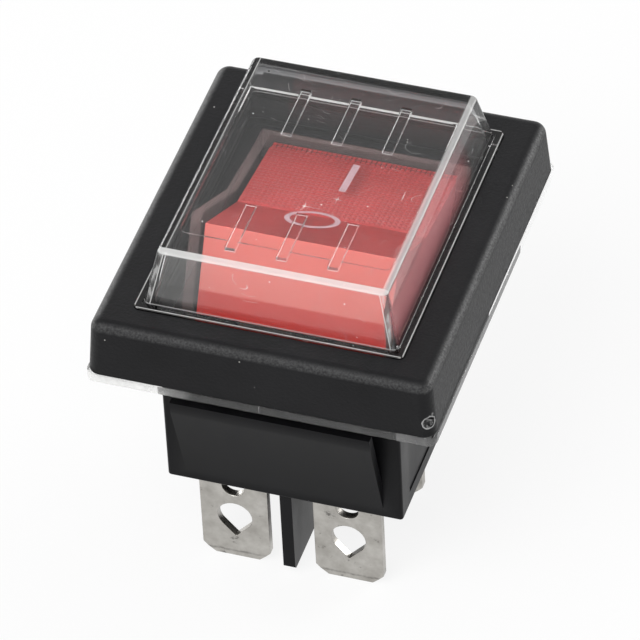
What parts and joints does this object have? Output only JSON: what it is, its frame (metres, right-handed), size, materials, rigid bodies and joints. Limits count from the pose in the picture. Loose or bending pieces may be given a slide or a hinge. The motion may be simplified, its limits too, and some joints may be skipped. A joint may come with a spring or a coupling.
{
  "type": "rocker switch",
  "caption": "Panel-mount lit rocker switch, its red rocker under a clear weather boot held by a black frame, with snap wings and push-on blade terminals below.",
  "frame": {"origin": "centre of the panel cut-out, in the panel's front face, which the boot's rim rests on", "axes": "+Z out of the panel, +Y along the long side away from the front terminal row, +X to the right seen from the front row"},
  "size_m": [0.0314, 0.0366, 0.0367],
  "materials": {
    "housing_plastic": "black nylon, smooth satin",
    "frame_plastic": "black plastic, fine spark-eroded texture",
    "boot_vinyl": "clear soft vinyl, glossy",
    "lens_plastic": "clear smoky plastic, glossy",
    "insert_plastic": "translucent red plastic",
    "terminal_brass": "tinned brass, warm grey, handled",
    "contact_silver": "silver alloy contact rivet",
    "lever_copper": "bare copper strip",
    "plunger_nylon": "white nylon",
    "spring_steel": "bright spring wire",
    "lamp_glass": "neon lamp glass",
    "lead_wire": "tinned wire",
    "resistor_body": "lacquered film resistor"
  },
  "bodies": {
    "switch_body": {"housing": "housing_plastic", "cover_frame": "frame_plastic", "boot": "boot_vinyl", "neon_lamp": "lamp_glass", "lamp_lead_left": "lead_wire", "lamp_lead_right": "lead_wire", "lamp_resistor": "resistor_body", "front_terminal_left": "terminal_brass", "common_terminal_left": "terminal_brass", "fixed_contact_left": "contact_silver", "front_terminal_right": "terminal_brass", "common_terminal_right": "terminal_brass", "fixed_contact_right": "contact_silver"},
    "rocker_body": {"rocker": "lens_plastic", "rocker_insert": "insert_plastic", "plunger_spring_left": "spring_steel", "plunger_spring_right": "spring_steel"},
    "lever_left_body": {"contact_lever_left": "lever_copper", "moving_contact_left": "contact_silver"},
    "plunger_left_body": {"plunger_left": "plunger_nylon"},
    "lever_right_body": {"contact_lever_right": "lever_copper", "moving_contact_right": "contact_silver"},
    "plunger_right_body": {"plunger_right": "plunger_nylon"}
  },
  "joints": [
    {"name": "rocker_pivot", "type": "hinge", "parent": "switch_body", "child": "rocker_body", "pos_m": [0, 0, -0.003], "axis": [1, 0, 0], "range_deg": [0, 37]},
    {"name": "lever_left_rock", "type": "hinge", "parent": "switch_body", "child": "lever_left_body", "pos_m": [-0.00526, 0, -0.01006], "axis": [1, 0, 0], "range_deg": [-14, 0]},
    {"name": "plunger_left_slide", "type": "slide", "parent": "rocker_body", "child": "plunger_left_body", "axis": [0, 0.3173, 0.9483], "range_m": [0, 0.0008], "stiffness_N_per_m": 300, "springref_m": -0.002, "deforming": ["plunger_spring_left"]},
    {"name": "lever_right_rock", "type": "hinge", "parent": "switch_body", "child": "lever_right_body", "pos_m": [0.00526, 0, -0.01006], "axis": [1, 0, 0], "range_deg": [-14, 0]},
    {"name": "plunger_right_slide", "type": "slide", "parent": "rocker_body", "child": "plunger_right_body", "axis": [0, 0.3173, 0.9483], "range_m": [0, 0.0008], "stiffness_N_per_m": 300, "springref_m": -0.002, "deforming": ["plunger_spring_right"]}
  ],
  "couplings": [
    {"joint": "lever_left_rock", "follows": "rocker_pivot", "ratio": -0.37838},
    {"joint": "lever_right_rock", "follows": "rocker_pivot", "ratio": -0.37838}
  ]
}
